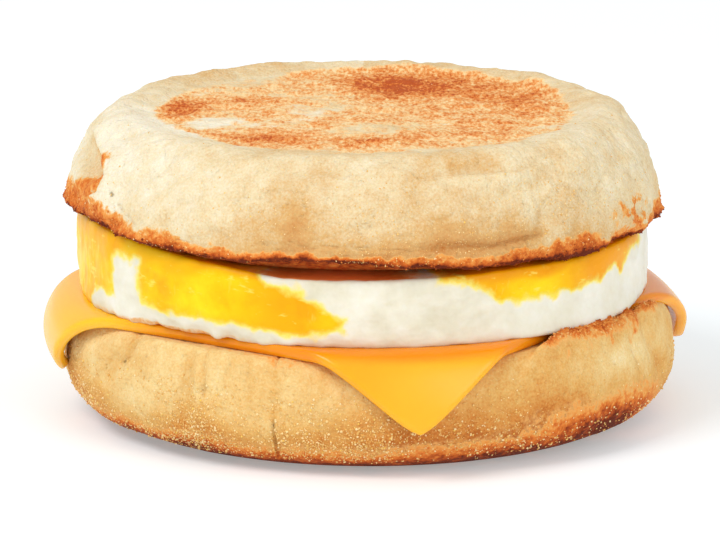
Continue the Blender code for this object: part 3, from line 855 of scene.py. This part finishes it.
# %% Egg: sizes
EGG_RADIUS = 45.5 * MM
EGG_FOOT = 43.6 * MM
EGG_BROW = 44.4 * MM
EGG_WAIST = 5.3 * MM
EGG_CENTRE = (-1.6 * MM, 0)
EGG_SWELL = 0.45 * MM
EGG_SPREAD = [  # how far the foot spreads out over the cheese, in mm, round the egg
    (-180, 0.2), (-110, 0.2), (-88, 0.2), (-75, 0.9), (-62, 1.2), (-52, 0.5), (-44, -0.6), (-35, -1.1),
    (-26, -0.8), (-14, 0.3), (10, 0.5), (25, 0.8), (38, 1.6), (50, 2.1), (62, 1.9), (78, 1),
    (100, 0.3), (140, 0.2),
]
EGG_RISE = [  # how far the egg's brow rises over the solid's, in mm, round the egg
    (-180, 0), (-120, 0.2), (-95, 1.2), (-80, 1.8), (-70, 2.3), (-60, 2.4), (-48, 1.9), (-36, 1.2),
    (-25, 0.5), (-15, -0.4), (0, -0.4), (15, -0.2), (30, 0),
]
YOLK_PATCHES = [  # stations of azimuth, lowest and highest edge in mm, one list for each patch
    [(-134, 26, 29), (-120, 23.4, 31.6), (-100, 20, 35), (-70, 20, 35), (-66, 23.2, 35),
     (-58, 24.8, 35)],
    [(-62, 29.4, 35), (-56, 30.6, 35), (-50, 30.9, 35), (-44, 30.4, 35)],
    [(-48.5, 24.4, 35), (-41, 23.6, 35), (-32.5, 23.5, 35), (-24, 22.8, 35), (-18.5, 22.7, 29.8),
     (-11.5, 22.3, 29.2), (-8, 22.6, 27), (-3.5, 23.6, 24.6)],
    [(15.5, 30.6, 35), (20.5, 29.8, 35), (23.5, 29, 35), (28, 27.1, 35), (32.5, 26.3, 35),
     (42.5, 26.6, 35), (54.5, 26.8, 35), (57, 28.4, 35), (59.5, 28.7, 35), (62.5, 26.8, 35),
     (67, 28.8, 35), (76, 30, 35)],
]


# %% Egg: the mask of the yolk
def yolk_mask(azimuth, height, points):
    """How much yolk shows at each place: 1 inside the patches, 0 outside, with a ragged fade."""
    degrees = azimuth_gap(azimuth, 0)
    wander = 0.55 * MM * noise(points, 4 * MM, 111) + 0.45 * MM * noise(points, 1.4 * MM, 112)
    wander = wander + 0.25 * MM * noise(points, 0.7 * MM, 113)
    inside = np.full(azimuth.shape, -9 * MM)
    for stations in YOLK_PATCHES:
        places, low, high = np.array(stations).T
        over = height - np.interp(degrees, places, low) * MM
        below = np.interp(degrees, places, high) * MM - height
        from_ends = np.radians(np.minimum(degrees - places[0], places[-1] - degrees)) * EGG_RADIUS
        inside = np.maximum(inside, np.minimum.reduce([over, below, from_ends]))
    return smooth((inside + wander) / (4.4 * MM) + 0.50)


# %% Egg: shape
def patty_surface(columns=600):
    """Azimuths, radii and heights of the whole egg's surface, before its fine relief."""
    foot, waist, brow = (EGG_FOOT, EGG_BOTTOM), (EGG_RADIUS, EGG_BOTTOM + EGG_WAIST), (EGG_BROW, EGG_TOP)
    azimuth, radius, height = grid(
        columns,
        even(20, flat_run(0, EGG_FOOT - 0.3 * MM, EGG_BOTTOM)),
        even(70, quarter(foot, waist, 2.6, False), quarter(waist, brow, 3.4, True)),
        even(34, flat_run(EGG_BROW - 0.3 * MM, 0, EGG_TOP)),
    )
    spots = place(azimuth, radius, height)
    swell = EGG_SWELL * (bumps(spots, 13 * MM, 41) + 0.6 * out_of_round(azimuth, 44))
    rim = smooth((radius - 40 * MM) / (3.5 * MM))
    low = np.clip((EGG_BOTTOM + 4 * MM - height) / (4 * MM), 0, 1) ** 1.5
    radius = radius + rim * (swell + round_table(azimuth, EGG_SPREAD) * MM * low)
    radius = radius - 0.7 * MM * rim * near(azimuth, -84, 24)
    share = np.clip((height - EGG_BOTTOM) / EGG_THICK, 0, 1)
    height = height - 1.5 * GAP * np.clip(1 - 3.5 * share, 0, 1)
    raised = round_table(azimuth, EGG_RISE) * MM * share * smooth((radius - 34 * MM) / (8 * MM))
    return azimuth, radius, height + raised


def egg_shapes():
    """Points of the white and of the yolk, and what their colours need to know."""
    azimuth, radius, height = patty_surface()
    out, up = outward(radius, height)
    spots = place(azimuth, radius, height, EGG_CENTRE)
    side = smooth((radius - 41 * MM) / (2.5 * MM))
    mask = yolk_mask(azimuth, height, spots) * smooth((radius - 34 * MM) / (5 * MM))
    wrinkled = near(azimuth, -80, 16)
    curds = 0.15 * MM * bumps(spots * (1, 1, 1.6), 3.2 * MM, 115, 3) + 0.05 * MM * noise(spots, 0.9 * MM, 119)
    curds = curds + wrinkled * 0.30 * MM * noise(spots * (1, 1, 0.35), 2 * MM, 117)
    curds = curds - 0.12 * MM * cracks(spots, 4 * MM, 116) * smooth(noise(spots, 9 * MM, 118))
    low = smooth((EGG_BOTTOM + 2.4 * MM - height) / (2.4 * MM))
    frill = low * (0.25 + 0.75 * near(azimuth, -36, 26)) * 0.40 * MM
    frill = frill * noise(spots * (1, 1, 0.6), 1.8 * MM, 121)
    stand = side * (curds * (1 - 0.4 * mask) + frill)
    white_offset = stand - 0.35 * MM * smooth((mask - 0.55) / 0.4)
    sunk = 1 - smooth((mask - 0.15) / 0.45)
    yolk_offset = stand + 0.05 * MM * smooth((mask - 0.6) / 0.4) - 0.60 * MM * sunk
    # Painted shade: the white's top at the front, in the gap under the crown, is coloured reddish brown for
    # the shade there
    painted_gap_shade = (height > EGG_TOP - 0.9 * MM) * (radius < EGG_BROW + 0.2 * MM) * near(azimuth, -5, 17)
    fry_line = smooth((EGG_BOTTOM + 1 * MM - height + 0.5 * MM * noise(spots, 2.2 * MM, 123)) / (0.9 * MM))
    # Painted shade: the yolk's band just under the crown's edge is turned deeper orange for the crown's
    # overhang
    crown_shade_band = smooth((height - 28.4 * MM + 1.2 * MM * noise(spots, 5 * MM, 125)) / (3 * MM))
    crown_shade_band = crown_shade_band * (1 - 0.65 * near(azimuth, -62, 38))
    # Deeper orange under the crown, at the right patch and at the front by the gap: partly the yolk's colour,
    # partly painted shade
    orange = [0.85 * crown_shade_band, 0.9 * near(azimuth, 56, 14), 0.5 * near(azimuth, -16, 9)]
    values = {
        "yolk": mask,
        # Real browning along the egg's foot, and painted shade in the gap under the crown, in one stored
        # value
        "fried": np.maximum(0.42 * fry_line * near(azimuth, -45, 28), 0.95 * painted_gap_shade),
        "orange": np.maximum.reduce(orange),
        "streaked": near(azimuth, -82, 13) * smooth((31 * MM - height) / (3 * MM)),
    }
    white = place(azimuth, radius + out * white_offset, height + up * white_offset, EGG_CENTRE)
    yolk = place(azimuth, radius + out * yolk_offset, height + up * yolk_offset, EGG_CENTRE)
    return white, yolk, values


white_points, yolk_points, egg_values = egg_shapes()

# %% Egg: finish
WHITE_STOPS = [(0.32, 216, 208, 182), (0.48, 229, 223, 203), (0.64, 238, 234, 220)]
YOLK_STOPS = [(0.34, 243, 166, 0), (0.50, 253, 196, 0), (0.66, 255, 220, 20)]
# Browning of the egg's foot; the last stop is the painted shade in the gap under the crown
FRIED_AND_GAP_SHADE_STOPS = [(0.25, 242, 192, 104), (0.60, 226, 132, 58), (0.90, 250, 150, 80)]
# Deep orange yolk, also serving as painted shade under the crown
DEEP_YOLK_AND_SHADE = rgb(244, 160, 0)
THIN_YOLK = rgb(250, 224, 98)


def egg_finish(name):
    shader = Shader(name)
    fine = shader.grain(0.7 * MM, 3, 0.6)
    small = shader.grain(2.2 * MM, 3, 0.6)
    broad = shader.grain(7 * MM, 2, 0.5)
    threads = shader.grain(1.1 * MM, 3, 0.65, shader.stretched(1, 1, 0.35))
    flecks = shader.grain(1 * MM, 3, 0.65, shader.stretched(0.45, 0.45, 1.3))
    mask = shader.stored("yolk") + (small - 0.5) * 0.40 + (fine - 0.5) * 0.34
    white = shader.ramp(small * 0.45 + broad * 0.55, WHITE_STOPS)
    yolk = shader.ramp(broad * 0.6 + small * 0.4, YOLK_STOPS)
    # Deeper orange yolk, partly painted shade under the crown's edge
    orange = shader.ease(shader.stored("orange") + (small - 0.5) * 0.6, 0.10, 0.85)
    yolk = shader.mix(orange, yolk, DEEP_YOLK_AND_SHADE)
    pale = shader.ease(threads + shader.stored("streaked") * 0.26, 0.60, 0.84) * 0.7
    pale = pale + shader.ease(flecks, 0.60, 0.72) * 0.7
    yolk = shader.mix(pale, yolk, THIN_YOLK)
    colour = shader.mix(shader.ease(mask, 0.20, 0.52), white, THIN_YOLK)
    colour = shader.mix(shader.ease(mask, 0.40, 0.76), colour, yolk)
    # Real browning at the foot, and painted shade in the gap under the crown
    fried = shader.stored("fried")
    fried = fried + shader.ease(fried, 0.02, 0.2) * (fine - 0.5) * 0.5
    colour = shader.mix(shader.ease(fried, 0.2, 0.5), colour, shader.ramp(fried, FRIED_AND_GAP_SHADE_STOPS))
    shader.relief((small, 0.12 * MM), (fine, 0.06 * MM))
    return shader.finish(
        Base_Color=colour,
        Roughness=0.38,
        Specular_IOR_Level=0.15,
        Subsurface_Weight=0.25,
        Subsurface_Radius=(2, 1.4, 0.8),
        Subsurface_Scale=1 * MM,
    )


white = turned_piece("egg_white_cooked", white_points, egg_values)
white.data.materials.append(egg_finish("cooked_egg_white"))
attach(white, "root")
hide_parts("egg_white")

# %% [markdown]
# The yolk's piece is the outer skin of the same surface with a back wall 3 mm behind it, so that it is a
# closed body. Where the mask is low it dips under the white and can't be seen.

# %% Egg: the yolk's piece
YOLK_AZIMUTHS = (-138, 84)
YOLK_ROWS = (19, 100)
YOLK_DEPTH = 3 * MM


def slab_piece(name, outer, inner, values):
    """A closed body between two grids of points of the same shape, joined along their borders."""
    rows, columns = outer.shape[:2]
    count = rows * columns
    index = np.arange(count).reshape(rows, columns)
    cells = quads(index)
    border = np.concatenate([index[0, :-1], index[:-1, -1], index[-1, :0:-1], index[:0:-1, 0]])
    after = np.roll(border, -1)
    wall = np.stack([after, border, border + count, after + count], axis=-1)
    faces = cells.tolist() + (cells[:, ::-1] + count).tolist() + wall.tolist()
    points = np.concatenate([outer.reshape(-1, 3), inner.reshape(-1, 3)])
    stored = {key: np.tile(np.asarray(value).reshape(-1), 2) for key, value in values.items()}
    return new_piece(name, points, faces, stored)


def yolk_window(values):
    """The part of the patty's grid that the yolk's piece covers: its side and the rim of its top."""
    turned = np.roll(values, values.shape[1] // 2, axis=1)
    degrees = (np.arange(values.shape[1]) / values.shape[1] - 0.5) * 360
    kept = (degrees > YOLK_AZIMUTHS[0]) & (degrees < YOLK_AZIMUTHS[1])
    return turned[YOLK_ROWS[0] : YOLK_ROWS[1]][:, kept]


yolk_outer = yolk_window(yolk_points)
yolk_way = np.array([*EGG_CENTRE, EGG_BOTTOM + EGG_THICK / 2]) - yolk_outer
yolk_way[..., 2] *= 2
yolk_way = yolk_way / np.linalg.norm(yolk_way, axis=-1, keepdims=True)
yolk_inner = yolk_outer + YOLK_DEPTH * yolk_way
yolk_values = {key: yolk_window(value) for key, value in egg_values.items()}
yolk = slab_piece("egg_yolk_cooked", yolk_outer, yolk_inner, yolk_values)
yolk.data.materials.append(egg_finish("cooked_egg_yolk"))
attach(yolk, "root")
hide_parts("egg_yolk")
print("egg:", len(white.data.polygons), "and", len(yolk.data.polygons), "faces")

# %% [markdown]
# ## The slice of cheese
# A processed slice is a soft square sheet. It lies flat on the heel, and warmth lets its four corners
# hang over the rim. Each corner bends past a curved line across its diagonal, and its slope grows with the
# distance past that line.

# %% Cheese: shape
CHEESE_CORNER = 1.1 * MM
CHEESE_INSET = 0.6 * MM
CHEESE_FLAPS = [  # the fold's distance from the axis and its roundness, then mm past it and slopes there
    (45.2, 4, (0, 0), (3.2, 60), (14, 89)),
    (42, 4, (0, 0), (11.8, 85)),
    (44.6, 4, (0, 0), (11, 84)),
    (45.5, 2.6, (0, 0), (4.5, 50), (16.2, 154)),
]
FLAP_LENGTH = 20 * MM
FLAP_STEPS = np.linspace(0, FLAP_LENGTH, 401)


def bent(past, slopes):
    """Reach, drop and slope of a sheet past its fold, as running sums of the slope's cosine and sine."""
    distances, degrees = np.array(slopes).T
    slope = np.radians(np.interp(FLAP_STEPS, distances * MM, degrees))
    sides = [np.concatenate([[0], np.cumsum(way(slope[:-1])) * FLAP_STEPS[1]]) for way in (np.cos, np.sin)]
    return (np.interp(past, FLAP_STEPS, values) for values in (*sides, slope))


def draped(across, along, offset):
    """Points of the slice as it lies, from places -1 to 1 in its plan and offsets from its middle."""
    drawn_in = CHEESE_CORNER * np.abs(across * along) ** 14
    plan_x = CHEESE_SIDE / 2 * across - np.sign(across) * drawn_in
    plan_y = CHEESE_SIDE / 2 * along - np.sign(along) * drawn_in
    x = CHEESE_CENTRE[0] + CHEESE_COS * plan_x - CHEESE_SIN * plan_y
    y = CHEESE_CENTRE[1] + CHEESE_SIN * plan_x + CHEESE_COS * plan_y
    z = np.full(x.shape, CHEESE_BOTTOM + CHEESE_THICK / 2)
    tilt = np.zeros(x.shape)
    for corner, (fold, roundness, *slopes) in enumerate(CHEESE_FLAPS):
        heading = CHEESE_TURN + corner * math.pi / 2
        way_x, way_y = math.sin(heading), -math.cos(heading)
        aside = x * way_y - y * way_x
        bulge = aside**2 / (roundness * HEEL_RADIUS)
        past = np.maximum(x * way_x + y * way_y - fold * MM + bulge, 0)
        reach, drop, here = bent(past, slopes)
        shift = reach - past + np.sin(here) * offset
        x, y, z = x + way_x * shift, y + way_y * shift, z - drop
        tilt = tilt + here
    return np.stack([x, y, z + np.cos(tilt) * offset], axis=-1)


def cheese_piece(cells=170):
    """The slice as a closed sheet with a rounded rim."""
    count = cells + 1
    ticks = np.linspace(-1, 1, count)
    across, along = (side.ravel() for side in np.meshgrid(ticks, ticks, indexing="ij"))
    index = np.arange(count * count).reshape(count, count)
    loop = np.concatenate([index[:-1, 0], index[-1, :-1], index[:0:-1, -1], index[0, :0:-1]])
    after = np.roll(loop, -1)
    half = CHEESE_SIDE / 2
    face = 1 - CHEESE_INSET / half
    layers = [draped(across * face, along * face, side * CHEESE_THICK / 2) for side in (1, -1)]
    turns = np.radians([60, 30, 0, -30, -60])
    for turn in turns:
        share = 1 - CHEESE_INSET * (1 - math.cos(turn)) / half
        layers.append(draped(across[loop] * share, along[loop] * share, CHEESE_THICK / 2 * math.sin(turn)))
    cells_up = np.roll(quads(index)[:, ::-1], 1, axis=1)
    under = count * count
    faces = cells_up.tolist() + (cells_up[:, ::-1] + under).tolist()
    ring = np.arange(len(loop))
    rings = [(loop, after)]
    for k in range(len(turns)):
        first = 2 * under + k * len(loop)
        rings.append((first + ring, first + np.roll(ring, -1)))
    rings.append((under + loop, under + after))
    for (upper, upper_after), (lower, lower_after) in zip(rings[:-1], rings[1:]):
        faces += np.stack([upper_after, upper, lower, lower_after], axis=-1).tolist()
    points = np.concatenate(layers)
    # Painted shade: the slice's top close under the egg is coloured deeper orange for the egg's shade
    covered = smooth((49.4 * MM - np.hypot(points[:, 0], points[:, 1])) / (2 * MM))
    covered = covered * smooth((points[:, 2] - 18 * MM) / (1.2 * MM))
    covered = covered * smooth((points[:, 0] + 40 * MM) / (14 * MM))
    # Painted highlight: the left flap, which faces the key light, is coloured paler yellow
    pale = smooth((-points[:, 0] - 34 * MM) / (9 * MM))
    return new_piece("cheese_slice_soft", points, faces, {"covered": covered, "pale": pale})


# %% Cheese: finish
CHEESE_STOPS = [(0.3, 252, 165, 6), (0.7, 254, 180, 24)]
# Deeper orange for the painted shade under the egg
SHADED_CHEESE = rgb(236, 136, 0)
# Paler yellow for the painted highlight on the left flap
CHEESE_HIGHLIGHT = rgb(255, 206, 36)


def cheese_finish():
    shader = Shader("processed_cheese")
    broad = shader.grain(11 * MM, 2, 0.5)
    fine = shader.grain(0.8 * MM, 3, 0.6)
    colour = shader.ramp(broad, CHEESE_STOPS)
    # Painted shade under the egg
    colour = shader.mix(shader.stored("covered") * 0.9, colour, SHADED_CHEESE)
    # Painted highlight on the left flap
    colour = shader.mix(shader.stored("pale") * 0.55, colour, CHEESE_HIGHLIGHT)
    shader.relief((fine, 0.012 * MM))
    return shader.finish(
        Base_Color=colour,
        Roughness=0.25,
        Specular_IOR_Level=0.40,
        Subsurface_Weight=0.30,
        Subsurface_Radius=(2.4, 1.1, 0.25),
        Subsurface_Scale=1.2 * MM,
    )


cheese = cheese_piece()
cheese.data.materials.append(cheese_finish())
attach(cheese, "root")
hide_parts("cheese_slice")
print("cheese:", len(cheese.data.polygons), "faces")

# %% [markdown]
# ## Cornmeal and crumbs
# Muffins are baked on cornmeal, and its grains stay on the skin and catch the light. The toasted edges
# are rough with crumbs. Each kind is one joined mesh: a small uneven lump, repeated with its own size,
# turn and stretch at places drawn on the surface, more of them where a density is high.

# %% Scattering lumps
GOLDEN = (1 + math.sqrt(5)) / 2
JITTER = 0.15 * MM
LUMP_POINTS = np.array(
    [(-1, GOLDEN, 0), (1, GOLDEN, 0), (-1, -GOLDEN, 0), (1, -GOLDEN, 0), (0, -1, GOLDEN), (0, 1, GOLDEN),
     (0, -1, -GOLDEN), (0, 1, -GOLDEN), (GOLDEN, 0, -1), (GOLDEN, 0, 1), (-GOLDEN, 0, -1), (-GOLDEN, 0, 1)]
) / math.hypot(1, GOLDEN)
LUMP_FACES = np.array(
    [(0, 11, 5), (0, 5, 1), (0, 1, 7), (0, 7, 10), (0, 10, 11), (1, 5, 9), (5, 11, 4), (11, 10, 2),
     (10, 7, 6), (7, 1, 8), (3, 9, 4), (3, 4, 2), (3, 2, 6), (3, 6, 8), (3, 8, 9), (4, 9, 5), (2, 4, 11),
     (6, 2, 10), (8, 6, 7), (9, 8, 1)]
)


def random_turns(random, number):
    """Rotation matrices from random unit quaternions."""
    turn = random.normal(size=(number, 4))
    w, x, y, z = (turn / np.linalg.norm(turn, axis=1, keepdims=True)).T
    return np.array(
        [[1 - 2 * (y * y + z * z), 2 * (x * y - w * z), 2 * (x * z + w * y)],
         [2 * (x * y + w * z), 1 - 2 * (x * x + z * z), 2 * (y * z - w * x)],
         [2 * (x * z - w * y), 2 * (y * z + w * x), 1 - 2 * (x * x + y * y)]]
    ).transpose(2, 0, 1)


def scattered(name, points, density, number, sizes, sunk, seed, tone=None):
    """One mesh of uneven lumps on a turned surface, their places drawn where density is high."""
    random = np.random.default_rng(seed)
    around = np.linalg.norm(np.roll(points, -1, axis=1) - points, axis=-1)
    along = np.linalg.norm(np.gradient(points, axis=0), axis=-1)
    weight = np.clip(density, 0, None) * around * along
    chosen = random.choice(weight.size, number, p=(weight / weight.sum()).ravel())
    normals = surface_normals(points).reshape(-1, 3)[chosen]
    jitter = random.normal(0, JITTER, (number, 3))
    off_surface = (jitter * normals).sum(axis=1, keepdims=True)
    centres = points.reshape(-1, 3)[chosen] + jitter - normals * off_surface
    low, high = sizes
    size = low + (high - low) * random.random(number) ** 2
    stretch = random.uniform(0.65, 1.3, (number, 1, 3))
    lumps = LUMP_POINTS * random.uniform(0.8, 1.2, (number, len(LUMP_POINTS), 1)) * stretch
    lumps = np.einsum("nij,nkj->nki", random_turns(random, number), lumps) * size[:, None, None] / 2
    lumps = lumps + (centres + normals * size[:, None] * (0.5 - sunk))[:, None, :]
    faces = LUMP_FACES[None] + (np.arange(number) * len(LUMP_POINTS))[:, None, None]
    values = {"shade": np.repeat(random.random(number), len(LUMP_POINTS))}
    if tone is not None:
        values["tone"] = np.repeat(tone.ravel()[chosen], len(LUMP_POINTS))
    return new_piece(name, lumps.reshape(-1, 3), faces.reshape(-1, 3).tolist(), values)


# %% Cornmeal
CORNMEAL_STOPS = [
    (0, 222, 166, 80), (0.5, 238, 196, 116), (0.9, 248, 224, 170),
    (1, 244, 200, 84),
]


def cornmeal_finish():
    shader = Shader("cornmeal")
    colour = shader.ramp(shader.stored("shade"), CORNMEAL_STOPS)
    return shader.finish(Base_Color=colour, Roughness=0.45, Specular_IOR_Level=0.4)


cornmeal = cornmeal_finish()
heel_height = heel_points[..., 2]
heel_clumps = 0.5 + 0.9 * np.clip(bumps(heel_points, 9 * MM, 141, 2), -0.5, 1)
heel_density = smooth((15.5 * MM - heel_height) / (9 * MM)) * heel_clumps
heel_density = heel_density * smooth((heel_height - 1.5 * MM) / (3 * MM))
heel_density = heel_density * (0.22 + near(heel_azimuth, -30, 50))
heel_density = heel_density * (1 - 0.7 * near(heel_azimuth, 52, 20))
heel_grains = scattered(
    "cornmeal_heel", heel_points, heel_density, 8800, (0.12 * MM, 0.42 * MM), 0.45, 7
)
crown_height = crown_points[..., 2]
crown_clumps = 0.4 + 0.9 * np.clip(bumps(crown_points, 11 * MM, 143, 2), -0.4, 1)
crown_side = (crown_height > CROWN_BOTTOM + 2 * MM) * smooth((CROWN_TOP + 2 * MM - crown_height) / (12 * MM))
crown_density = crown_side * crown_clumps * (0.20 + near(crown_azimuth, 25, 42))
crown_grains = scattered(
    "cornmeal_crown", crown_points, crown_density, 2600, (0.10 * MM, 0.30 * MM), 0.55, 9
)
for grains in (heel_grains, crown_grains):
    grains.data.materials.append(cornmeal)
    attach(grains, "root")

# %% Toasted crumbs
CRUMB_STOPS = [
    (0.15, 240, 200, 132), (0.45, 230, 152, 72), (0.75, 200, 100, 36),
    (1.00, 130, 50, 16),
]


def crumb_finish():
    shader = Shader("toasted_crumbs")
    tone = shader.stored("tone") + (shader.stored("shade") - 0.5) * 0.5
    small = shader.grain(0.6 * MM, 2, 0.6)
    shader.relief((small, 0.08 * MM))
    return shader.finish(Base_Color=shader.ramp(tone, CRUMB_STOPS), Roughness=0.8, Specular_IOR_Level=0.2)


def outside(points, radius):
    """1 outside a radius from the axis and 0 within it."""
    return np.hypot(points[..., 0], points[..., 1]) > radius


crumbs = crumb_finish()
crown_toast = crown_values["browned"]
crown_crumbly = outside(crown_points, 44 * MM) * (crown_height < CROWN_BOTTOM + 6.5 * MM)
crown_crumbly = crown_crumbly * smooth((crown_toast - 0.25) / 0.4)
crown_crumbly = crown_crumbly * (1 - 0.6 * near(crown_azimuth, -5, 30))
crown_crumbs = scattered(
    "crumbs_crown", crown_points, crown_crumbly, 4200, (0.12 * MM, 0.42 * MM), 0.55, 11, crown_toast
)
heel_toast = heel_values["browned"]
heel_crumbly = outside(heel_points, 43 * MM) * (heel_height > 14.5 * MM) * smooth((heel_toast - 0.3) / 0.3)
heel_crumbs = scattered(
    "crumbs_heel", heel_points, heel_crumbly, 2200, (0.14 * MM, 0.48 * MM), 0.50, 13, heel_toast
)
for piece, slot in ((crown_crumbs, "muffin_crown"), (heel_crumbs, "muffin_heel")):
    piece.data.materials.append(crumbs)
    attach(piece, "root")
